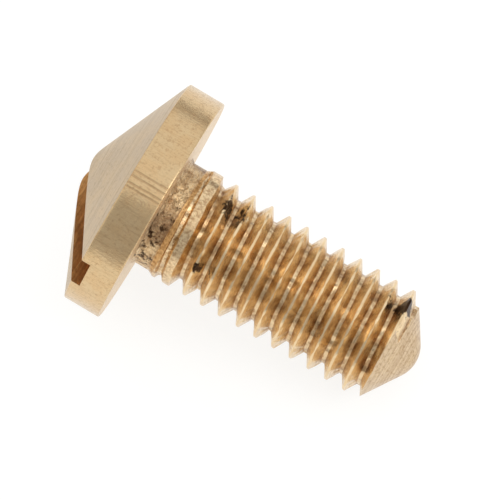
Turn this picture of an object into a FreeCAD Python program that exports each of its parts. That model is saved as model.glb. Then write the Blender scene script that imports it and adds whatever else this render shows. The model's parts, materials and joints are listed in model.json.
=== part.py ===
import FreeCAD, Part
import math
import os

from FreeCAD import Vector

# Slotted locking screw in brass: a round head with a low cone on top, a plain neck,
# a coarse right-hand M6 thread and a blunt cone point. It is turned from one bar.
# All lengths are in millimetres and all angles in degrees.
# The screw is drawn about the Z axis, with z = 0 at the underside of its head,
# the head below that plane and the point up. It is then laid down as it would rest.

# Head: a short rim of drawn bar with a low cone turned on its outer end
head_diameter = 12.0
rim_height = 1.95
cone_slope = 23.4
edge_break = 0.08

# Driver slot: one saw cut right across the head
slot_width = 1.75
slot_floor_below_rim = 0.50
slot_turn = 74.0

# Neck: the plain length under the head, with the slope that the tool's corner leaves
# where it starts and a short lead up to the crests where it ends
neck_diameter = 5.6
neck_length = 0.90
neck_corner = 0.18
neck_lead = 0.30

# Thread: M6 with a 1 mm pitch. The flats are shares of the pitch, and the offset is
# the height of a crest above the underside of the head, on the side that rests below
crest_diameter = 5.92
pitch = 1.0
flank_angle = 60.0
crest_flat_share = 0.125
root_flat_share = 0.18
runout_length = 1.5
crest_offset = 0.19

# Shank and point
shank_length = 12.75
point_half_angle = 57.0
nose_radius = 1.65

# How far a cutting tool passes beyond the metal that it cuts
tool_overlap = 0.05
slot_tool_overlap = 1.0

head_radius = head_diameter / 2
neck_radius = neck_diameter / 2
crest_radius = crest_diameter / 2
crest_flat = crest_flat_share * pitch
root_flat = root_flat_share * pitch
flank_run = (pitch - crest_flat - root_flat) / 2
flank_tan = math.tan(math.radians(flank_angle / 2))
thread_depth = flank_run / flank_tan
root_radius = crest_radius - thread_depth
thread_start = neck_length + runout_length

ORIGIN = Vector(0, 0, 0)
AXIS = Vector(0, 0, 1)


def at(radius, height):
    """A point of the turned outline."""
    return Vector(radius, 0, height)


def line(start, end):
    return Part.LineSegment(start, end).toShape()


def arc(start, middle, end):
    return Part.Arc(start, middle, end).toShape()


def chain(points):
    """Straight edges from each point of the outline to the next."""
    return [line(start, end) for start, end in zip(points, points[1:])]


def head_points():
    """The head's half outline, from the apex of its cone to the foot of the neck."""
    cone_foot = head_radius - edge_break
    cone_height = cone_foot * math.tan(math.radians(cone_slope))
    return [
        at(0, -rim_height - cone_height),
        at(cone_foot, -rim_height),
        at(head_radius, -rim_height + edge_break),
        at(head_radius, -edge_break),
        at(head_radius - edge_break, 0),
        at(neck_radius + neck_corner, 0),
    ]


def shank_points():
    """The neck, the short lead up to the crests, and the shank up to the point."""
    return [
        at(neck_radius, neck_corner),
        at(neck_radius, neck_length),
        at(crest_radius, neck_length + neck_lead),
        at(crest_radius, shank_length),
    ]


def point_lines():
    """The blunt cone and the rounded nose that it runs into without an edge."""
    half = math.radians(point_half_angle)
    nose_edge = nose_radius * math.cos(half)
    cone_length = (crest_radius - nose_edge) / math.tan(half)
    cone_top = shank_length + cone_length
    nose_centre = cone_top - nose_radius * math.sin(half)
    nose_top = nose_centre + nose_radius
    middle_turn = (half + math.pi / 2) / 2
    middle = at(
        nose_radius * math.cos(middle_turn),
        nose_centre + nose_radius * math.sin(middle_turn),
    )
    cone = line(at(crest_radius, shank_length), at(nose_edge, cone_top))
    nose = arc(at(nose_edge, cone_top), middle, at(0, nose_top))
    return [cone, nose], nose_top


def make_blank():
    """The screw as it leaves the lathe, before its thread and its slot are cut."""
    point, length = point_lines()
    turned = head_points() + shank_points()
    middle = line(at(0, length), turned[0])
    outline = Part.Face(Part.Wire(chain(turned) + point + [middle]))
    blank = outline.revolve(ORIGIN, AXIS, 360)
    # The seam of the turned surfaces goes on top, away from where the screw rests
    blank.rotate(ORIGIN, AXIS, 180)
    return blank, length


def groove_outline():
    """The section of one thread groove: two flanks and a flat root."""
    outer = crest_radius + tool_overlap
    inner_half = root_flat / 2
    outer_half = inner_half + (outer - root_radius) * flank_tan
    corners = [
        at(root_radius, -inner_half),
        at(outer, -outer_half),
        at(outer, outer_half),
        at(root_radius, inner_half),
    ]
    return Part.makePolygon(corners + corners[:1])


def swept_groove(height, slope):
    """The groove along a helix that climbs by height and widens at the slope."""
    helix = Part.makeHelix(pitch, height, root_radius, slope)
    sweep = Part.BRepOffsetAPI.MakePipeShell(Part.Wire(helix.Edges))
    sweep.setBiNormalMode(AXIS)
    sweep.add(groove_outline(), False, False)
    sweep.build()
    sweep.makeSolid()
    return sweep.shape()


def seat_on_helix(cutter, height):
    """Turns and lifts a cutter so that it starts in the groove at this height."""
    groove_height = crest_offset + pitch / 2
    cutter.rotate(ORIGIN, AXIS, 360 * (height - groove_height) / pitch)
    cutter.translate(AXIS * height)
    return cutter


def groove_passes(length):
    """The full groove, one turn or less at a time, from the run-out past the point."""
    reach = length + pitch - thread_start
    count = math.ceil(reach / pitch)
    climb = reach / count
    heights = [thread_start + number * climb for number in range(count)]
    return [seat_on_helix(swept_groove(climb, 0), height) for height in heights]


def runout_pass():
    """The last turns towards the head, where the groove fades out into the neck."""
    fade = math.degrees(math.atan((thread_depth + tool_overlap) / runout_length))
    runout = swept_groove(runout_length, fade)
    # It is grown away from the head, so it is turned over to face it
    runout.rotate(ORIGIN, Vector(1, 0, 0), 180)
    return seat_on_helix(runout, thread_start)


def slot_cutter():
    """The saw's path: as wide as the slot, across the head and out of its top."""
    reach = head_radius + slot_tool_overlap
    floor = -(rim_height - slot_floor_below_rim)
    depth = head_radius + rim_height
    corner = Vector(-reach, -slot_width / 2, floor - depth)
    saw = Part.makeBox(2 * reach, slot_width, depth, corner)
    saw.rotate(ORIGIN, AXIS, slot_turn)
    return saw


def last_crest_height():
    """The height of the last crest before the point, on the side that meets the floor."""
    turns = math.floor((shank_length - crest_offset) / pitch)
    return crest_offset + turns * pitch


def lay_down(screw):
    """The screw at rest: on the rim's lower edge and on the last crest of its thread."""
    contact_rise = head_radius - crest_radius
    contact_span = last_crest_height() + edge_break
    tilt = math.degrees(math.atan2(contact_rise, contact_span))
    screw.rotate(ORIGIN, Vector(0, 1, 0), 90 + tilt)
    box = screw.optimalBoundingBox(False, False)
    screw.translate(Vector(-box.Center.x, -box.Center.y, -box.ZMin))
    return screw


def make_screw():
    blank, length = make_blank()
    screw = blank
    for cutter in groove_passes(length) + [runout_pass(), slot_cutter()]:
        screw = screw.cut(cutter)
    return lay_down(screw)


def main():
    os.makedirs("parts", exist_ok=True)
    screw = make_screw()
    screw.exportStep("parts/locking_screw.step")
    box = screw.BoundBox
    print("locking_screw", screw.isValid(), len(screw.Solids), round(screw.Volume, 2))
    print("size", round(box.XLength, 3), round(box.YLength, 3), round(box.ZLength, 3))


if __name__ == "__main__":
    main()
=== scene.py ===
"""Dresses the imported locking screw: its turned, threaded and sawn brass, and the pale stage it lies on."""

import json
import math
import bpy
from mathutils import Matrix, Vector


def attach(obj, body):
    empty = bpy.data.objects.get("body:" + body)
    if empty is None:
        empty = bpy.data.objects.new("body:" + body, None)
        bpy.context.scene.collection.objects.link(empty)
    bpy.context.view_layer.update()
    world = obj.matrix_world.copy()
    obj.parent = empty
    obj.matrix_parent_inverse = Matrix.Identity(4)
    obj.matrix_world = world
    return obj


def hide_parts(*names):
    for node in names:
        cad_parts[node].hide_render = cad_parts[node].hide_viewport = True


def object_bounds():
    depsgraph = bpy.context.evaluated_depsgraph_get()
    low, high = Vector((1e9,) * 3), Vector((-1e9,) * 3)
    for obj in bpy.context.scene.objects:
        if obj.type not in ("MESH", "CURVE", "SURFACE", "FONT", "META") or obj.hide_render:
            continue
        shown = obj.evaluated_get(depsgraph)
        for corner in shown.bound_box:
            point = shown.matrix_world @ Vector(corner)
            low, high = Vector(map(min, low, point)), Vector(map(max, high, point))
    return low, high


bl_info = {
    "name": "Locking Screw",
    "version": (1, 0, 0),
    "blender": (4, 5, 0),
    "location": "3D View > Sidebar > Screw",
    "description": "Turns, threads and slots a brass locking screw and lights it on a pale floor",
    "category": "Object",
}

import bpy
from mathutils import Matrix, Vector, noise

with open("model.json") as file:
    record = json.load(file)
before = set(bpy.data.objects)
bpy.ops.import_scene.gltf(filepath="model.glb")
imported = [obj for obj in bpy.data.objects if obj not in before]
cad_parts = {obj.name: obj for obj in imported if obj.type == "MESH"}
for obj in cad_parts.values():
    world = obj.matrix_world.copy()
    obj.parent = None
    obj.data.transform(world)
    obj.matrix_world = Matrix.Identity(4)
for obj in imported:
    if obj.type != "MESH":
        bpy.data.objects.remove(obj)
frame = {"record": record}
cad_low, cad_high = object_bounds()
neck_mount = next(m for m in frame["record"]["mounts"] if m["name"] == "neck")

# The screw is made in millimetres about the Z axis, with the underside of its head
# at zero, its head below and its point up. It is laid down at the end.
MM = 0.001

# Vertices that lie closer than this are one vertex
WELD = 0.0005

# Places in the list of finishes, which every tool and blank shares
RIM, CONE, SLOT, SEAT, NECK, THREAD, POINT = range(7)

# Steps round the axis, and the angle below which two faces shade as one
AROUND = 192
SMOOTH_BELOW = math.radians(32)

# The die that cuts the thread: its length in pitches, and the heights where it is cut off
DIE_PITCHES = 17
DIE_FOOT = 0.6
DIE_TOP = 15.2

# The die's wide mouth, which lets the head through
MOUTH_FLARE = 2.6
MOUTH_DEPTH = 7.0

# How far the cutting tools pass beyond the metal that they cut
THREAD_TOOL_OVERLAP = 0.05
SAW_OVERLAP = 1.0
SAW_HEIGHT = 8.0

# The thread's unevenness. Each line is an amount, a size and a seed for the noise
CREST_WAVES = ((0.014, 0.7, 3), (0.006, 0.3, 5))
CREST_WEAR = (0.16, 0.55, 9)
PITCH_WAVE = (0.025, 0.9, 7)

# Marks of wear. Turns are in degrees from the side that rests below, towards +Y,
# and each mark on the shank is a turn, a height and a reach
SCRATCHES = (194.5, 197.0, 200.5, 202.5)
NECK_FILM = ((208.0, 0.7, 0.9), (224.0, 0.6, 1.0), (120.0, 0.4, 0.9), (128.0, 1.1, 0.8))
NECK_DIRT = ((216.0, 0.1, 1.0), (238.0, 0.15, 1.0), (262.0, 0.2, 0.9), (200.0, 1.2, 0.8))
THREAD_DIRT = ((163.0, 3.1, 0.95), (235.0, 3.2, 0.6), (158.0, 12.4, 0.9))
NICK_TURN = 163.0
NICK_HEIGHT = 3.3
NICK_REACH = 0.75
NICK_DEPTH = 0.5

# The stage, in metres
FLOOR_RADIUS = 1.5
FLOOR_SHADE = (0.26, 0.26, 0.258, 1)
FLOOR_GLOW = 0.85
SIDE_LAMP_PLACE = Vector((0.42, 0.01, 0.42))
SIDE_LAMP_SIZE = 0.3


def length(name, default_mm, note):
    """A size of the screw, written in millimetres and shown in the scene's unit."""
    return bpy.props.FloatProperty(
        name=name, description=note, default=default_mm * MM, min=0.0,
        precision=5, subtype="DISTANCE", unit="LENGTH",
    )


def turn(name, default_degrees, note):
    """An angle, written in degrees."""
    return bpy.props.FloatProperty(
        name=name, description=note, default=math.radians(default_degrees),
        subtype="ANGLE", unit="ROTATION",
    )


def share(name, default, note):
    """A part of one whole."""
    return bpy.props.FloatProperty(
        name=name, description=note, default=default, min=0.0, max=1.0, subtype="FACTOR"
    )


def colour(name, red, green, blue, note):
    """A colour, written as it is seen on a screen and kept as Blender needs it."""
    seen = [red / 255, green / 255, blue / 255]
    linear = [c / 12.92 if c <= 0.04045 else ((c + 0.055) / 1.055) ** 2.4 for c in seen]
    return bpy.props.FloatVectorProperty(
        name=name, description=note, default=(*linear, 1.0), size=4,
        min=0.0, max=1.0, subtype="COLOR",
    )


class HeadSizes(bpy.types.PropertyGroup):
    diameter: length("Diameter", 12.0, "Across the rim, which is the drawn bar's own skin")
    rim_height: length("Rim height", 1.95, "From the underside to the foot of the cone")
    cone_slope: turn("Cone slope", 23.4, "How steeply the top rises to its middle")
    edge_break: length("Edge break", 0.08, "The rounding of the rim's two edges")
    slot_width: length("Slot width", 1.75, "The width of the saw cut")
    slot_floor: length("Slot floor", 0.50, "How far the cut goes below the foot of the cone")
    slot_turn: turn("Slot turn", 74.0, "The cut's direction, from the side that rests below")


class ShankSizes(bpy.types.PropertyGroup):
    neck_diameter: length("Neck diameter", 5.6, "The plain length under the head")
    neck_length: length("Neck length", 0.90, "From the underside to the lead")
    neck_corner: length("Neck corner", 0.18, "The slope where the neck meets the head")
    neck_lead: length("Neck lead", 0.30, "The slope from the neck up to the crests")
    crest_diameter: length("Crest diameter", 5.92, "Across the thread's crests")
    pitch: length("Pitch", 1.0, "From one crest to the next")
    crest_flat: length("Crest flat", 0.125, "The width of a crest")
    root_flat: length("Root flat", 0.18, "The width of a root")
    flank_angle: turn("Flank angle", 60.0, "Between the two flanks of a groove")
    crest_offset: length("Crest offset", 0.19, "A crest's height on the side that rests below")
    runout: length("Run-out", 1.5, "Where the groove fades out towards the neck")
    shank: length("Shank length", 12.75, "From the underside to the foot of the point")
    point_half_angle: turn("Point half angle", 57.0, "Between the point's cone and the axis")
    nose_radius: length("Nose radius", 1.65, "The rounding of the point")


class Finishes(bpy.types.PropertyGroup):
    drawn: colour("Drawn rim", 218, 190, 147, "Bright skin of the drawn bar")
    satin: colour("Turned cone", 202, 182, 155, "Fine turned face of the cone")
    sawn: colour("Sawn slot", 214, 164, 104, "Walls and floor of the slot")
    seat: colour("Underside", 234, 210, 178, "Pale turned face under the head")
    bare: colour("Thread", 238, 212, 170, "Flanks of the thread")
    root: colour("Thread root", 146, 102, 60, "Brown bottom of the thread")
    point: colour("Point", 224, 200, 166, "Smooth turned point")
    tarnish: colour("Tarnish", 152, 128, 98, "Dull grey-brown film")
    film: colour("Brown film", 120, 84, 58, "Dark film on the neck")
    dirt: colour("Dirt", 62, 42, 26, "Dirt in pits and nicks")


class StageLooks(bpy.types.PropertyGroup):
    azimuth: turn("Azimuth", 31.16, "The camera's turn round the screw, from -Y towards the point")
    elevation: turn("Elevation", 61.82, "The camera's height over the floor")
    roll: turn("Roll", -3.04, "How far the camera leans to its left")
    distance: bpy.props.FloatProperty(
        name="Distance", description="From the camera to the screw", default=0.43,
        subtype="DISTANCE", unit="LENGTH",
    )
    lens: bpy.props.FloatProperty(
        name="Lens", description="Focal length in millimetres", default=640.0
    )
    floor: colour("Floor", 250, 250, 249, "The pale floor")
    low_light: share("Low light", 0.35, "The tent's light near the floor")
    high_light: share("High light", 0.95, "The tent's light overhead")
    front_light: share("Front light", 0.5, "The tent's light on the camera's side")
    side_light: bpy.props.FloatProperty(
        name="Side light", description="The lamp to the right of the camera", default=0.5,
        min=0.0, subtype="POWER", unit="POWER",
    )


# Making meshes
def mm(metres):
    """A size of the screw in millimetres."""
    return metres / MM


def deselect_all():
    if bpy.context.mode != "OBJECT":
        bpy.ops.object.mode_set(mode="OBJECT")
    bpy.ops.object.select_all(action="DESELECT")


def make_active(piece):
    deselect_all()
    piece.select_set(True)
    bpy.context.view_layer.objects.active = piece


def apply_modifier(piece, kind, **settings):
    """Adds a modifier, sets it and applies it."""
    make_active(piece)
    modifier = piece.modifiers.new(kind.title(), kind)
    for name, value in settings.items():
        setattr(modifier, name, value)
    bpy.ops.object.modifier_apply(modifier=modifier.name)


def start_outline(name, place):
    """A new object with one vertex, ready to be drawn on in edit mode."""
    deselect_all()
    bpy.ops.mesh.primitive_plane_add(size=1)
    piece = bpy.context.object
    piece.name = piece.data.name = name
    bpy.ops.object.mode_set(mode="EDIT")
    bpy.ops.mesh.select_all(action="SELECT")
    bpy.ops.mesh.merge(type="CENTER")
    bpy.ops.transform.translate(value=place)
    return piece


def draw_outline(name, places):
    """An open line through the places, which are radius and height pairs."""
    points = [Vector((radius, 0, height)) for radius, height in places]
    piece = start_outline(name, points[0])
    for start, end in zip(points, points[1:]):
        bpy.ops.mesh.extrude_vertices_move(TRANSFORM_OT_translate={"value": end - start})
    return piece


def close_shell():
    """Welds what meets and turns the faces outwards."""
    bpy.ops.mesh.select_all(action="SELECT")
    bpy.ops.mesh.remove_doubles(threshold=WELD)
    bpy.ops.mesh.normals_make_consistent(inside=False)
    bpy.ops.object.mode_set(mode="OBJECT")


def along(start, end, steps):
    """Places on a straight line, without its start."""
    return [
        tuple(a + (b - a) * step / steps for a, b in zip(start, end))
        for step in range(1, steps + 1)
    ]


def arc(centre, radius, first, last, steps):
    """Places on an arc, with angles in degrees from straight out."""
    turns = [math.radians(first + (last - first) * s / steps) for s in range(steps + 1)]
    return [(centre[0] + radius * math.cos(t), centre[1] + radius * math.sin(t)) for t in turns]


def rough(place, size, seed):
    """Smooth noise between about -1 and 1, for a place in millimetres."""
    return noise.noise(place / size + Vector((seed, 2.7 * seed, -1.3 * seed)))


# The screw
def underside_middle():
    """Where the axis meets the underside of the head, in metres, from the neck's mount."""
    shank = bpy.context.scene.screw_shank
    neck_middle = (shank.neck_corner + shank.neck_length) / 2
    return Vector(neck_mount["pos_m"]) - Vector(neck_mount["axis"]).normalized() * neck_middle


def on_shank(turn_degrees, height):
    """A place on the thread's crests."""
    radius = mm(bpy.context.scene.screw_shank.crest_diameter) / 2
    angle = math.radians(turn_degrees)
    return Vector((radius * math.cos(angle), radius * math.sin(angle), height))


def head_outline(head, shank):
    """Half the head's outline, from the top of its cone to the foot of the neck."""
    radius, rim = mm(head.diameter) / 2, mm(head.rim_height)
    ease = mm(head.edge_break)
    slope = math.degrees(head.cone_slope)
    top = (0.0, -rim - (radius - ease) * math.tan(head.cone_slope))
    upper = arc((radius - ease, -rim + ease), ease, -90 + slope, 0, steps=4)
    lower = arc((radius - ease, -ease), ease, 0, 90, steps=4)
    corner = mm(shank.neck_corner)
    inner = (mm(shank.neck_diameter) / 2 + corner, 0.0)
    places = [top] + along(top, upper[0], steps=12) + upper[1:]
    places += along(upper[-1], lower[0], steps=8) + lower[1:]
    return places + along(lower[-1], inner, steps=10)


def shank_outline(shank):
    """The neck, the lead up to the crests, the shank, and the point."""
    neck, crest = mm(shank.neck_diameter) / 2, mm(shank.crest_diameter) / 2
    corner, foot = mm(shank.neck_corner), mm(shank.shank)
    neck_end = mm(shank.neck_length)
    places = along((neck + corner, 0.0), (neck, corner), steps=3)
    places += along(places[-1], (neck, neck_end), steps=8)
    places += along(places[-1], (crest, neck_end + mm(shank.neck_lead)), steps=3)
    places += along(places[-1], (crest, foot), steps=40)
    half, nose = shank.point_half_angle, mm(shank.nose_radius)
    nose_edge = nose * math.cos(half)
    cone_top = foot + (crest - nose_edge) / math.tan(half)
    places += along((crest, foot), (nose_edge, cone_top), steps=10)
    centre = (0.0, cone_top - nose * math.sin(half))
    return places + arc(centre, nose, math.degrees(half), 90, steps=8)[1:]


def zone(head, shank, centre, normal):
    """The finish of a face of the blank, by its place."""
    radius = math.hypot(centre.x, centre.y)
    faces_point = normal.z > 0.9
    if radius > mm(head.diameter) / 2 - mm(head.edge_break):
        return RIM
    if centre.z < -mm(head.rim_height) / 2:
        return CONE
    if faces_point and centre.z < mm(shank.neck_corner):
        return SEAT
    if centre.z < mm(shank.neck_length):
        return NECK
    return POINT if centre.z > mm(shank.shank) else THREAD


def thread_outline(shank):
    """One pitch of the die, from a sharp crest down to the root and up again, and its depth."""
    pitch = mm(shank.pitch)
    offset = mm(shank.crest_offset) - pitch
    slope = math.tan(shank.flank_angle / 2)
    crest = mm(shank.crest_diameter) / 2
    flat, root_flat = mm(shank.crest_flat), mm(shank.root_flat)
    depth = (pitch - flat - root_flat) / 2 / slope
    sharp = crest + flat / 2 / slope
    root = crest - depth
    first = (sharp, offset)
    down = (root, offset + pitch / 2 - root_flat / 2)
    up = (root, offset + pitch / 2 + root_flat / 2)
    last = (sharp, offset + pitch)
    flank_down, flank_up = along(first, down, steps=7), along(up, last, steps=7)
    return [first] + flank_down + along(down, up, steps=2) + flank_up, depth


def cut_place(place, start, fade, nick):
    """Where a vertex of the even die goes: wider in the run-out, and uneven as cut brass is."""
    radius = math.hypot(place.x, place.y)
    grown = radius + fade * max(0.0, start - place.z)
    grown += sum(amount * rough(place, size, seed) for amount, size, seed in CREST_WAVES)
    wear, wear_size, wear_seed = CREST_WEAR
    grown -= wear * max(0.0, rough(place, wear_size, wear_seed))
    grown -= NICK_DEPTH * max(0.0, 1.0 - (place - nick).length / NICK_REACH)
    rise, rise_size, rise_seed = PITCH_WAVE
    return Vector((place.x * grown / radius, place.y * grown / radius,
                   place.z + rise * rough(place, rise_size, rise_seed)))


def bisect(height, **settings):
    """Cuts the mesh in edit mode across its axis. The cut edge stays selected."""
    bpy.ops.mesh.select_all(action="SELECT")
    bpy.ops.mesh.bisect(plane_co=(0, 0, height), plane_no=(0, 0, 1), **settings)


def make_die(shank):
    """The threaded hole that the shank's groove is the print of, as a solid."""
    places, depth = thread_outline(shank)
    die = draw_outline("die", places)
    bpy.ops.mesh.select_all(action="SELECT")
    bpy.ops.mesh.screw(steps=AROUND, turns=1, center=(0, 0, 0), axis=(0, 0, -1))
    bpy.ops.object.mode_set(mode="OBJECT")
    apply_modifier(
        die, "ARRAY", use_relative_offset=False, use_constant_offset=True,
        constant_offset_displace=(0, 0, mm(shank.pitch)), count=DIE_PITCHES,
        use_merge_vertices=True, merge_threshold=WELD,
    )
    start = mm(shank.neck_length) + mm(shank.runout)
    fade = (depth + THREAD_TOOL_OVERLAP) / mm(shank.runout)
    nick = on_shank(NICK_TURN, NICK_HEIGHT)
    for vertex in die.data.vertices:
        vertex.co = cut_place(vertex.co.copy(), start, fade, nick)
    bpy.ops.object.mode_set(mode="EDIT")
    bpy.ops.mesh.select_all(action="SELECT")
    bpy.ops.mesh.remove_doubles(threshold=WELD)
    bisect(DIE_TOP, use_fill=True, clear_outer=True)
    bisect(DIE_FOOT, clear_inner=True)
    bpy.ops.mesh.extrude_edges_move()
    bpy.ops.transform.resize(value=(MOUTH_FLARE, MOUTH_FLARE, 1))
    bpy.ops.mesh.extrude_edges_move(TRANSFORM_OT_translate={"value": (0, 0, -MOUTH_DEPTH)})
    bpy.ops.mesh.select_all(action="SELECT")
    bpy.ops.mesh.fill_holes(sides=0)
    close_shell()
    for face in die.data.polygons:
        face.material_index = THREAD
    return die


class SCREW_OT_turn_blank(bpy.types.Operator):
    """Turns the blank: a round head with a low cone, a neck, a shank and a point"""

    bl_idname = "screw.turn_blank"
    bl_label = "Turn the blank"

    def execute(self, context):
        head, shank = context.scene.screw_head, context.scene.screw_shank
        blank = draw_outline("turned_screw", head_outline(head, shank) + shank_outline(shank))
        bpy.ops.mesh.select_all(action="SELECT")
        bpy.ops.mesh.spin(
            steps=AROUND, angle=2 * math.pi, center=(0, 0, 0), axis=(0, 0, 1)
        )
        close_shell()
        half_step = Matrix.Rotation(math.pi / AROUND, 4, "Z")
        blank.data.transform(half_step)
        for face in blank.data.polygons:
            face.material_index = zone(head, shank, face.center, face.normal)
        return {"FINISHED"}


class SCREW_OT_cut_thread(bpy.types.Operator):
    """Cuts the thread with its run-out into the neck"""

    bl_idname = "screw.cut_thread"
    bl_label = "Cut the thread"

    def execute(self, context):
        blank = bpy.data.objects["turned_screw"]
        plain_faces = len(blank.data.polygons)
        die = make_die(context.scene.screw_shank)
        for finish in make_finishes(context.scene.screw_finishes):
            blank.data.materials.append(finish)
            die.data.materials.append(finish)
        apply_modifier(blank, "BOOLEAN", operation="INTERSECT", object=die, solver="EXACT")
        bpy.data.objects.remove(die)
        if len(blank.data.polygons) <= plain_faces:
            raise RuntimeError("the thread wasn't cut")
        return {"FINISHED"}


class SCREW_OT_saw_slot(bpy.types.Operator):
    """Saws the driver's slot right across the head"""

    bl_idname = "screw.saw_slot"
    bl_label = "Saw the slot"

    def execute(self, context):
        head = context.scene.screw_head
        blank = bpy.data.objects["turned_screw"]
        reach = mm(head.diameter) / 2 + SAW_OVERLAP
        floor = -(mm(head.rim_height) - mm(head.slot_floor))
        deselect_all()
        bpy.ops.mesh.primitive_cube_add(size=1, location=(0, 0, floor - SAW_HEIGHT / 2))
        saw = bpy.context.object
        saw.scale = (2 * reach, mm(head.slot_width), SAW_HEIGHT)
        saw.rotation_euler = (0, 0, head.slot_turn)
        bpy.ops.object.transform_apply(location=True, rotation=True, scale=True)
        for finish in blank.data.materials:
            saw.data.materials.append(finish)
        for face in saw.data.polygons:
            face.material_index = SLOT
        apply_modifier(blank, "BOOLEAN", operation="DIFFERENCE", object=saw, solver="EXACT")
        bpy.data.objects.remove(saw)
        if not any(face.material_index == SLOT for face in blank.data.polygons):
            raise RuntimeError("the slot wasn't sawn")
        return {"FINISHED"}


class SCREW_OT_lay_screw(bpy.types.Operator):
    """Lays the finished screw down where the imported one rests, and hands it over"""

    bl_idname = "screw.lay_screw"
    bl_label = "Lay the screw down"

    def execute(self, context):
        blank = bpy.data.objects["turned_screw"]
        to_point = Vector(neck_mount["axis"]).normalized()
        side = Vector((0, 1, 0))
        down = side.cross(to_point)
        turned = Matrix((down, side, to_point)).transposed().to_4x4()
        make_active(blank)
        bpy.ops.object.shade_smooth_by_angle(angle=SMOOTH_BELOW)
        blank.matrix_world = Matrix.Translation(underside_middle()) @ turned @ Matrix.Scale(MM, 4)
        bpy.ops.object.transform_apply(location=True, rotation=True, scale=True)
        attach(blank, "root")
        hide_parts("locking_screw")
        return {"FINISHED"}


# Node graphs
class Graph:
    """Adds nodes to a tree and links them, with values set on their sockets."""

    def __init__(self, tree):
        self.tree = tree

    def add(self, kind, inputs=None, **settings):
        node = self.tree.nodes.new(kind)
        for name, value in settings.items():
            setattr(node, name, value)
        for key, value in (inputs or {}).items():
            self.put(node.inputs[key], value)
        return node

    def put(self, socket, value):
        """Links an output to the socket, or sets the socket to a value."""
        if isinstance(value, bpy.types.NodeSocket):
            self.tree.links.new(value, socket)
        else:
            socket.default_value = value

    def math(self, operation, a, b=0.0, c=0.0):
        node = self.add("ShaderNodeMath", {0: a, 1: b, 2: c}, operation=operation)
        return node.outputs[0]

    def vector(self, operation, a, b):
        """A vector's sum or product with another, or its distance from it."""
        node = self.add("ShaderNodeVectorMath", {0: a, 1: b}, operation=operation)
        return node.outputs["Value" if operation == "DISTANCE" else "Vector"]

    def ramp(self, value, low, high, out_low=0.0, out_high=1.0):
        """A smooth step of the value from low to high."""
        node = self.add(
            "ShaderNodeMapRange",
            {"Value": value, "From Min": low, "From Max": high, "To Min": out_low, "To Max": out_high},
            interpolation_type="SMOOTHSTEP",
        )
        return node.outputs["Result"]

    def mix(self, amount, a, b):
        """A colour between the two. The node keeps its colour sockets after those of other kinds."""
        node = self.add("ShaderNodeMix", {0: amount, 6: a, 7: b}, data_type="RGBA")
        return node.outputs[2]

    def noise(self, vector, scale, detail=5.0, roughness=0.65):
        node = self.add(
            "ShaderNodeTexNoise",
            {"Vector": vector, "Scale": scale, "Detail": detail, "Roughness": roughness},
        )
        return node.outputs["Fac"]


def new_group(name, inputs, outputs):
    """A node group with its sockets. Returns its graph, its input node and its output node."""
    tree = bpy.data.node_groups.new(name, "ShaderNodeTree")
    for socket, kind, default in inputs:
        made = tree.interface.new_socket(socket, in_out="INPUT", socket_type="NodeSocket" + kind)
        made.default_value = default
    for socket, kind in outputs:
        tree.interface.new_socket(socket, in_out="OUTPUT", socket_type="NodeSocket" + kind)
    graph = Graph(tree)
    return graph, graph.add("NodeGroupInput"), graph.add("NodeGroupOutput")


def screw_place_group():
    """A point's place on the screw: in millimetres about the axis, and in cylinder measures."""
    to_point = Vector(neck_mount["axis"]).normalized()
    lean = -(math.pi / 2 + math.atan2(-to_point.z, to_point.x))
    graph, _, out = new_group(
        "Screw place", [],
        [("Place", "Vector"), ("Height", "Float"), ("Radius", "Float"), ("Turn", "Float")],
    )
    shift = -(Matrix.Rotation(lean, 3, "Y") @ (underside_middle() / MM))
    seen = graph.add("ShaderNodeTexCoord").outputs["Object"]
    place = graph.add(
        "ShaderNodeMapping",
        {"Vector": seen, "Location": shift, "Rotation": (0, lean, 0), "Scale": (1 / MM,) * 3},
    ).outputs["Vector"]
    x, y, height = graph.add("ShaderNodeSeparateXYZ", {0: place}).outputs
    square = graph.math("ADD", graph.math("MULTIPLY", x, x), graph.math("MULTIPLY", y, y))
    turned = graph.math("ARCTAN2", y, x)
    graph.put(out.inputs["Place"], place)
    graph.put(out.inputs["Height"], height)
    graph.put(out.inputs["Radius"], graph.math("SQRT", square))
    graph.put(out.inputs["Turn"], graph.math("DIVIDE", turned, 2 * math.pi))
    return graph.tree


def stretched_lines_group():
    """Fine lines, as a drawing die or a saw leaves them, along the axis where Stretch is small."""
    graph, given, out = new_group(
        "Stretched lines",
        [("Place", "Vector", (0, 0, 0)), ("Rotation", "Vector", (0, 0, 0)),
         ("Stretch", "Vector", (1, 1, 0.03)), ("Fineness", "Float", 8.0)],
        [("Height", "Float")],
    )
    turned = graph.add("ShaderNodeMapping", {
        "Vector": given.outputs["Place"], "Rotation": given.outputs["Rotation"]}).outputs["Vector"]
    stretched = graph.vector("MULTIPLY", turned, given.outputs["Stretch"])
    graph.put(out.inputs["Height"], graph.noise(stretched, given.outputs["Fineness"]))
    return graph.tree


def turned_rings_group():
    """Fine rings round the axis, as a lathe tool leaves them, a little uneven."""
    graph, given, out = new_group(
        "Turned rings",
        [("Place", "Vector", (0, 0, 0)), ("Radius", "Float", 1.0), ("Height", "Float", 0.0),
         ("Fineness", "Float", 8.0)],
        [("Height", "Float")],
    )
    unevenness = 0.4
    wander = graph.noise(given.outputs["Place"], scale=0.3, detail=1.0, roughness=0.55)
    shifted = graph.math("MULTIPLY_ADD", wander, unevenness, given.outputs["Radius"])
    rings = graph.add("ShaderNodeCombineXYZ", {0: shifted, 1: 0.0, 2: given.outputs["Height"]})
    value = graph.noise(rings.outputs[0], given.outputs["Fineness"], roughness=0.7)
    graph.put(out.inputs["Height"], value)
    return graph.tree


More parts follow.
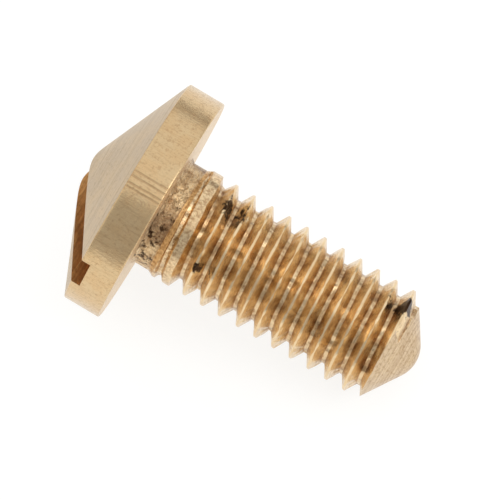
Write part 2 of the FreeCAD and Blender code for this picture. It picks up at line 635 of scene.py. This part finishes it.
def helix_lines_group(pitch):
    """Fine marks that run along the thread's own helix, a little uneven."""
    graph, given, out = new_group(
        "Helix lines",
        [("Place", "Vector", (0, 0, 0)), ("Radius", "Float", 1.0), ("Height", "Float", 0.0),
         ("Turn", "Float", 0.0), ("Fineness", "Float", 8.0)],
        [("Height", "Float")],
    )
    unevenness = (0.09, 0.09, 0.09)
    turns = graph.math("SUBTRACT", graph.math("DIVIDE", given.outputs["Height"], pitch),
                       given.outputs["Turn"])
    phase = graph.math("MULTIPLY", turns, 2 * math.pi)
    wide = pitch / (2 * math.pi)
    ring = graph.add("ShaderNodeCombineXYZ", {
        0: graph.math("MULTIPLY", graph.math("COSINE", phase), wide),
        1: graph.math("MULTIPLY", graph.math("SINE", phase), wide),
        2: given.outputs["Radius"]}).outputs[0]
    wander = graph.vector("MULTIPLY", given.outputs["Place"], unevenness)
    across = graph.vector("ADD", ring, wander)
    value = graph.noise(across, given.outputs["Fineness"], roughness=0.7)
    graph.put(out.inputs["Height"], value)
    return graph.tree


def pits_group():
    """Small scattered pits. The mask is 1 in a pit."""
    graph, given, out = new_group(
        "Pits",
        [("Place", "Vector", (0, 0, 0)), ("Fineness", "Float", 4.0), ("Amount", "Float", 0.3)],
        [("Mask", "Float")],
    )
    fewest, more, edge_width = 0.75, 0.3, 0.07
    grain = graph.noise(given.outputs["Place"], given.outputs["Fineness"], detail=4.0)
    edge = graph.math("SUBTRACT", fewest, graph.math("MULTIPLY", given.outputs["Amount"], more))
    graph.put(out.inputs["Mask"], graph.ramp(grain, edge, graph.math("ADD", edge, edge_width)))
    return graph.tree


def patch_group():
    """A ragged patch round one place on the screw. The mask is 1 in its middle."""
    graph, given, out = new_group(
        "Patch",
        [("Place", "Vector", (0, 0, 0)), ("Middle", "Vector", (0, 0, 0)), ("Reach", "Float", 1.0),
         ("Softness", "Float", 0.1)],
        [("Mask", "Float")],
    )
    raggedness, border = 1.6, 1.5
    away = graph.vector("DISTANCE", given.outputs["Place"], given.outputs["Middle"])
    ragged = graph.noise(given.outputs["Place"], scale=3.0, detail=4.0)
    away_share = graph.math("DIVIDE", away, given.outputs["Reach"])
    edge = graph.math("MULTIPLY_ADD", ragged, raggedness, away_share)
    soft = given.outputs["Softness"]
    outside, inside = graph.math("ADD", border, soft), graph.math("SUBTRACT", border, soft)
    graph.put(out.inputs["Mask"], graph.ramp(edge, outside, inside))
    return graph.tree


def stain_group():
    """A cloudy change from one colour to another."""
    graph, given, out = new_group(
        "Stain",
        [("Place", "Vector", (0, 0, 0)), ("Clean", "Color", (1, 1, 1, 1)),
         ("Stained", "Color", (0, 0, 0, 1)), ("Fineness", "Float", 1.0), ("Amount", "Float", 0.5)],
        [("Color", "Color")],
    )
    cloud = graph.noise(given.outputs["Place"], given.outputs["Fineness"])
    mask = graph.math("MULTIPLY", graph.ramp(cloud, low=0.38, high=0.66), given.outputs["Amount"])
    graph.put(out.inputs["Color"],
              graph.mix(mask, given.outputs["Clean"], given.outputs["Stained"]))
    return graph.tree


# Finishes
class Brass:
    """One finish of the screw: a metal with its graph, its place on the screw and its groups."""

    def __init__(self, name, groups):
        self.made = bpy.data.materials.new(name)
        self.made.use_nodes = True
        self.shader = self.made.node_tree.nodes["Principled BSDF"]
        self.shader.inputs["Metallic"].default_value = 1.0
        self.graph = Graph(self.made.node_tree)
        self.groups = groups
        self.where = self.use("place")

    def use(self, name, **inputs):
        """Places a shared group, and feeds it what it takes of the place on the screw."""
        node = self.graph.add("ShaderNodeGroup", node_tree=self.groups[name])
        for key in node.inputs.keys():
            if key in ("Place", "Height", "Radius", "Turn"):
                self.graph.put(node.inputs[key], self.where[key])
        for key, value in inputs.items():
            self.graph.put(node.inputs[key], value)
        return node.outputs

    def stain(self, clean, stained, fineness, amount):
        return self.use("stain", Clean=clean, Stained=stained, Fineness=fineness, Amount=amount)[0]

    def patch(self, turn_degrees, height, reach, softness=0.1):
        """A patch on the shank, at a turn from the side that rests below."""
        spot = on_shank(turn_degrees, height)
        return self.use("patch", Middle=spot, Reach=reach, Softness=softness)[0]

    def grain(self, fineness):
        return self.graph.noise(self.where["Place"], fineness, roughness=0.7)

    def cover(self, base, mask, paint, most=1.0):
        """The base with a colour over it where the mask is."""
        return self.graph.mix(self.graph.math("MULTIPLY", mask, most), base, paint)

    def fleck(self, base, pattern, paint, start, full, most, within=1.0):
        """The base with a colour over it where the pattern is strong, from start to full."""
        return self.cover(base, self.graph.ramp(pattern, start, full, 0.0, most), paint, within)

    def finish(self, base, height, depth_mm, pattern, shiny, dull, low=0.3, high=0.7):
        """Sets the colour, a relief of that depth, and a roughness that follows the pattern."""
        roughness = self.graph.ramp(pattern, low, high, shiny, dull)
        bump = self.graph.add(
            "ShaderNodeBump", {"Height": height, "Distance": depth_mm * MM, "Strength": 1.0})
        self.graph.put(self.shader.inputs["Base Color"], base)
        self.graph.put(self.shader.inputs["Roughness"], roughness)
        self.graph.put(self.shader.inputs["Normal"], bump.outputs["Normal"])
        return self.made


def make_finishes(looks):
    """All the screw's finishes, in the order of their places."""
    pitch = mm(bpy.context.scene.screw_shank.pitch)
    groups = {
        "place": screw_place_group(), "lines": stretched_lines_group(),
        "rings": turned_rings_group(), "helix": helix_lines_group(pitch), "pits": pits_group(),
        "patch": patch_group(), "stain": stain_group(),
    }
    makers = (drawn_brass, turned_brass, sawn_brass, seat_brass, neck_brass, thread_brass, point_brass)
    return [maker(groups, looks) for maker in makers]


def drawn_brass(groups, looks):
    """The rim: a glossy skin with faint lines along the axis, a few scratches and fine grain."""
    brass = Brass("brass_drawn", groups)
    graph = brass.graph
    lines = brass.use("lines", Fineness=10.0, Stretch=(1, 1, 0.1))[0]
    grain = brass.grain(fineness=6.0)
    base = brass.stain(looks.drawn, looks.sawn, fineness=1.3, amount=0.2)
    base = brass.fleck(base, lines, looks.root, start=0.48, full=0.66, most=0.18)
    base = brass.fleck(base, grain, looks.root, start=0.5, full=0.66, most=0.3)
    lines_depth = 0.6
    height = graph.math("MULTIPLY_ADD", lines, lines_depth, grain)
    for turn_degrees in SCRATCHES:
        mark = scratch(brass, turn_degrees)
        base = brass.cover(base, mark, looks.root, most=0.3)
        height = graph.math("SUBTRACT", height, mark)
    return brass.finish(base, height, 0.009, grain, shiny=0.17, dull=0.27, low=0.35, high=0.65)


def scratch(brass, turn_degrees):
    """A line along the axis on the rim, 1 on the line, at a turn from the side that rests below."""
    graph = brass.graph
    across = graph.add("ShaderNodeMapping", {
        "Vector": brass.where["Place"], "Rotation": (0, 0, -math.radians(turn_degrees))})
    out, beside, _ = graph.add("ShaderNodeSeparateXYZ", {0: across.outputs["Vector"]}).outputs
    unevenness = 0.1
    wavy = graph.math("MULTIPLY_ADD", brass.grain(fineness=1.2), unevenness, beside)
    near = graph.ramp(graph.math("ABSOLUTE", wavy), low=0.03, high=0.07, out_low=1.0, out_high=0.0)
    on_this_side = graph.ramp(out, low=0.0, high=1.0)
    return graph.math("MULTIPLY", near, on_this_side)


def turned_brass(groups, looks):
    """The cone: a satin turned face with faint arcs and cloudy dull patches."""
    brass = Brass("brass_turned", groups)
    rings = brass.use("rings", Fineness=7.0)[0]
    grain = brass.grain(fineness=7.0)
    base = brass.stain(looks.satin, looks.drawn, fineness=0.7, amount=0.35)
    base = brass.fleck(base, rings, looks.tarnish, start=0.46, full=0.66, most=0.25)
    base = brass.fleck(base, grain, looks.tarnish, start=0.5, full=0.66, most=0.35)
    grain_depth = 0.6
    height = brass.graph.math("MULTIPLY_ADD", grain, grain_depth, rings)
    return brass.finish(base, height, 0.012, rings, shiny=0.36, dull=0.5)


def sawn_brass(groups, looks):
    """The slot: lines along the cut, and tarnish."""
    brass = Brass("brass_sawn", groups)
    turned = -bpy.context.scene.screw_head.slot_turn
    lines = brass.use("lines", Fineness=6.0, Rotation=(0, 0, turned), Stretch=(0.06, 1, 1))[0]
    base = brass.stain(looks.sawn, looks.root, fineness=1.4, amount=0.5)
    base = brass.fleck(base, lines, looks.root, start=0.48, full=0.66, most=0.5)
    return brass.finish(base, lines, 0.03, lines, shiny=0.36, dull=0.5)


def seat_brass(groups, looks):
    """The underside: pale, turned and pitted."""
    brass = Brass("brass_seat", groups)
    rings = brass.use("rings", Fineness=6.0)[0]
    pits = brass.use("pits", Fineness=3.5, Amount=0.4)[0]
    base = brass.stain(looks.seat, looks.drawn, fineness=1.2, amount=0.4)
    base = brass.cover(base, pits, looks.sawn)
    height = brass.graph.math("SUBTRACT", rings, pits)
    return brass.finish(base, height, 0.012, rings, shiny=0.34, dull=0.48)


def neck_brass(groups, looks):
    """The neck: rough and dull, with a dark film and dirt in pits close under the head."""
    brass = Brass("brass_neck", groups)
    graph = brass.graph
    rings = brass.use("rings", Fineness=4.0)[0]
    grain = brass.grain(fineness=5.0)
    base = brass.stain(looks.bare, looks.root, fineness=1.6, amount=0.5)
    base = brass.fleck(base, grain, looks.root, start=0.48, full=0.64, most=0.6)
    base = brass.fleck(base, rings, looks.root, start=0.48, full=0.64, most=0.4)
    for turn_degrees, height, reach in NECK_FILM:
        film = brass.patch(turn_degrees, height, reach, softness=0.45)
        base = brass.cover(base, film, looks.film, most=0.55)
    pits = brass.use("pits", Fineness=3.2, Amount=0.8)[0]
    for turn_degrees, height, reach in NECK_DIRT:
        dirty = graph.math("MULTIPLY", brass.patch(turn_degrees, height, reach), pits)
        base = brass.cover(base, dirty, looks.dirt, most=0.9)
    grain_depth = 1.6
    relief = graph.math("SUBTRACT", graph.math("MULTIPLY_ADD", grain, grain_depth, rings), pits)
    return brass.finish(base, relief, 0.04, grain, shiny=0.22, dull=0.4)


def thread_brass(groups, looks):
    """The thread: bare crests and flanks with helical marks, tarnish in the root, and dirt."""
    brass = Brass("brass_thread", groups)
    graph = brass.graph
    crest = mm(bpy.context.scene.screw_shank.crest_diameter) / 2
    radius, along_axis = brass.where["Radius"], brass.where["Height"]
    marks = brass.use("helix", Fineness=9.0)[0]
    grain = brass.grain(fineness=6.0)
    deep = graph.ramp(radius, crest - 0.6, crest - 0.22, out_low=1.0, out_high=0.0)
    below_crest = graph.ramp(radius, crest - 0.14, crest - 0.04, out_low=1.0, out_high=0.25)
    beside_neck = graph.ramp(along_axis, low=1.5, high=2.6, out_low=0.55, out_high=0.0)
    clouds = graph.ramp(brass.grain(fineness=1.3), low=0.4, high=0.62, out_low=0.1, out_high=0.7)
    tarnish = graph.math("MULTIPLY", deep, clouds)
    base = brass.stain(looks.bare, looks.sawn, fineness=1.6, amount=0.25)
    base = brass.cover(base, tarnish, looks.root)
    base = brass.fleck(base, grain, looks.root, start=0.4, full=0.6, most=1.0, within=beside_neck)
    base = brass.fleck(base, marks, looks.root, start=0.5, full=0.66, most=0.35, within=below_crest)
    base = brass.fleck(base, grain, looks.root, start=0.52, full=0.68, most=0.5, within=below_crest)
    specks = brass.grain(fineness=4.0)
    base = brass.fleck(base, specks, looks.dirt, start=0.6, full=0.68, most=0.5, within=below_crest)
    for turn_degrees, height, reach in THREAD_DIRT:
        base = brass.cover(base, brass.patch(turn_degrees, height, reach), looks.dirt)
    grain_depth = graph.math("MULTIPLY", below_crest, 0.9)
    relief = graph.math("MULTIPLY_ADD", grain, grain_depth, marks)
    return brass.finish(base, relief, 0.012, marks, shiny=0.16, dull=0.28)


def point_brass(groups, looks):
    """The point: pale and smooth with faint arcs."""
    brass = Brass("brass_point", groups)
    rings = brass.use("rings", Fineness=7.0)[0]
    grain = brass.grain(fineness=6.0)
    base = brass.stain(looks.point, looks.drawn, fineness=1.5, amount=0.5)
    base = brass.fleck(base, rings, looks.root, start=0.44, full=0.6, most=0.35)
    base = brass.fleck(base, grain, looks.root, start=0.48, full=0.64, most=0.5)
    grain_depth = 0.6
    height = brass.graph.math("MULTIPLY_ADD", grain, grain_depth, rings)
    return brass.finish(base, height, 0.03, rings, shiny=0.26, dull=0.4)


# The stage
def make_floor(looks):
    """A pale floor. Seen straight or in the metal it glows a little, so that its shadow is soft."""
    deselect_all()
    bpy.ops.mesh.primitive_circle_add(vertices=96, radius=FLOOR_RADIUS, fill_type="NGON")
    floor = bpy.context.object
    floor.name = floor.data.name = "pale_floor"
    made = bpy.data.materials.new("pale_floor")
    made.use_nodes = True
    graph = Graph(made.node_tree)
    made.node_tree.nodes.clear()
    shade = graph.add("ShaderNodeBsdfDiffuse", {"Color": FLOOR_SHADE})
    glow = graph.add("ShaderNodeEmission", {"Color": looks.floor, "Strength": FLOOR_GLOW})
    rays = graph.add("ShaderNodeLightPath").outputs
    seen = graph.math("MAXIMUM", rays["Is Camera Ray"],
                      graph.math("MAXIMUM", rays["Is Glossy Ray"], rays["Is Transmission Ray"]))
    lit = graph.add("ShaderNodeAddShader", {0: shade.outputs[0], 1: glow.outputs[0]})
    plain = graph.add("ShaderNodeBsdfDiffuse", {"Color": looks.floor})
    both = graph.add("ShaderNodeMixShader", {0: seen, 1: plain.outputs[0], 2: lit.outputs[0]})
    graph.add("ShaderNodeOutputMaterial", {"Surface": both.outputs[0]})
    floor.data.materials.append(made)


def window(graph, value, low, high, soft):
    """1 where the value lies between low and high, with soft edges."""
    return graph.math("MULTIPLY", graph.ramp(value, low - soft, low),
                      graph.ramp(value, high, high + soft, out_low=1.0, out_high=0.0))


def make_world(looks):
    """A white tent: bright above, dim near the floor, and dimmer on the camera's side."""
    world = bpy.data.worlds.new("studio")
    bpy.context.scene.world = world
    world.use_nodes = True
    graph = Graph(world.node_tree)
    world.node_tree.nodes.clear()
    sight = graph.add("ShaderNodeTexCoord").outputs["Generated"]
    turned = graph.add(
        "ShaderNodeMapping", {"Vector": sight, "Rotation": (0, 0, -looks.azimuth)}
    ).outputs["Vector"]
    x, y, z = graph.add("ShaderNodeSeparateXYZ", {0: turned}).outputs
    degree = 180 / math.pi
    height = graph.math("MULTIPLY", graph.math("ARCSINE", z), degree)
    side = graph.math("MULTIPLY", graph.math("ARCTAN2", x, graph.math("MULTIPLY", y, -1.0)), degree)
    level = graph.ramp(height, low=9.0, high=15.0, out_low=looks.low_light, out_high=looks.high_light)
    front = graph.math("MULTIPLY", window(graph, side, low=-40.0, high=12.0, soft=2.0),
                       window(graph, height, low=-20.0, high=61.0, soft=2.0))
    dimmed = graph.math("SUBTRACT", level, looks.front_light)
    level = graph.math("SUBTRACT", level, graph.math("MULTIPLY", front, dimmed))
    rays = graph.add("ShaderNodeLightPath").outputs
    level = graph.math("MAXIMUM", level, rays["Is Camera Ray"])
    light = graph.add("ShaderNodeBackground", {"Color": (1, 1, 1, 1), "Strength": level})
    graph.add("ShaderNodeOutputWorld", {"Surface": light.outputs[0]})


def make_side_lamp(looks):
    """A square lamp to the right of the camera, turned to the screw."""
    data = bpy.data.lights.new("side_light", "AREA")
    data.shape = "SQUARE"
    data.size = SIDE_LAMP_SIZE
    data.energy = looks.side_light
    lamp = bpy.data.objects.new("side_light", data)
    bpy.context.scene.collection.objects.link(lamp)
    lamp.location = SIDE_LAMP_PLACE
    lamp.rotation_euler = (-SIDE_LAMP_PLACE).to_track_quat("-Z", "Y").to_euler()


def sight_back(looks):
    """From the screw towards the camera."""
    flat = math.cos(looks.elevation)
    return Vector((math.sin(looks.azimuth) * flat, -math.cos(looks.azimuth) * flat,
                   math.sin(looks.elevation)))


def make_camera(looks):
    """The camera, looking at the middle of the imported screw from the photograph's side."""
    data = bpy.data.cameras.new("camera")
    camera = bpy.data.objects.new("camera", data)
    bpy.context.scene.collection.objects.link(camera)
    data.lens = looks.lens
    data.sensor_width = 36.0
    data.clip_start = 0.01
    data.clip_end = 10.0
    target = (cad_low + cad_high) / 2
    back = sight_back(looks)
    camera.location = target + back * looks.distance
    level = (-back).to_track_quat("-Z", "Y").to_matrix()
    camera.rotation_euler = (level @ Matrix.Rotation(looks.roll, 3, "Z")).to_euler()
    bpy.context.scene.camera = camera


class SCREW_OT_set_stage(bpy.types.Operator):
    """Puts down the pale floor, the soft light and the camera"""

    bl_idname = "screw.set_stage"
    bl_label = "Set the stage"

    def execute(self, context):
        looks = context.scene.screw_stage
        make_floor(looks)
        make_world(looks)
        make_side_lamp(looks)
        make_camera(looks)
        context.scene.view_settings.view_transform = "Standard"
        return {"FINISHED"}


# The panel
class SCREW_PT_panel(bpy.types.Panel):
    """The steps that make the screw, and its sizes"""

    bl_label = "Locking screw"
    bl_idname = "SCREW_PT_panel"
    bl_space_type = "VIEW_3D"
    bl_region_type = "UI"
    bl_category = "Screw"

    def draw(self, context):
        layout = self.layout
        for step in STEPS:
            layout.operator(step.bl_idname)
        for name in SETTINGS:
            box = layout.box()
            group = getattr(context.scene, name)
            for entry in group.bl_rna.properties.keys():
                if entry not in ("rna_type", "name"):
                    box.prop(group, entry)


STEPS = (
    SCREW_OT_turn_blank, SCREW_OT_cut_thread, SCREW_OT_saw_slot, SCREW_OT_lay_screw,
    SCREW_OT_set_stage,
)
SETTINGS = {
    "screw_head": HeadSizes, "screw_shank": ShankSizes,
    "screw_finishes": Finishes, "screw_stage": StageLooks,
}
CLASSES = (*SETTINGS.values(), *STEPS, SCREW_PT_panel)


def register():
    for kind in CLASSES:
        bpy.utils.register_class(kind)
    for name, group in SETTINGS.items():
        setattr(bpy.types.Scene, name, bpy.props.PointerProperty(type=group))


def unregister():
    for name in SETTINGS:
        delattr(bpy.types.Scene, name)
    for kind in reversed(CLASSES):
        bpy.utils.unregister_class(kind)


def main():
    register()
    deselect_all()
    bpy.ops.screw.turn_blank()
    bpy.ops.screw.cut_thread()
    bpy.ops.screw.saw_slot()
    bpy.ops.screw.lay_screw()
    bpy.ops.screw.set_stage()


if __name__ == "__main__":
    main()
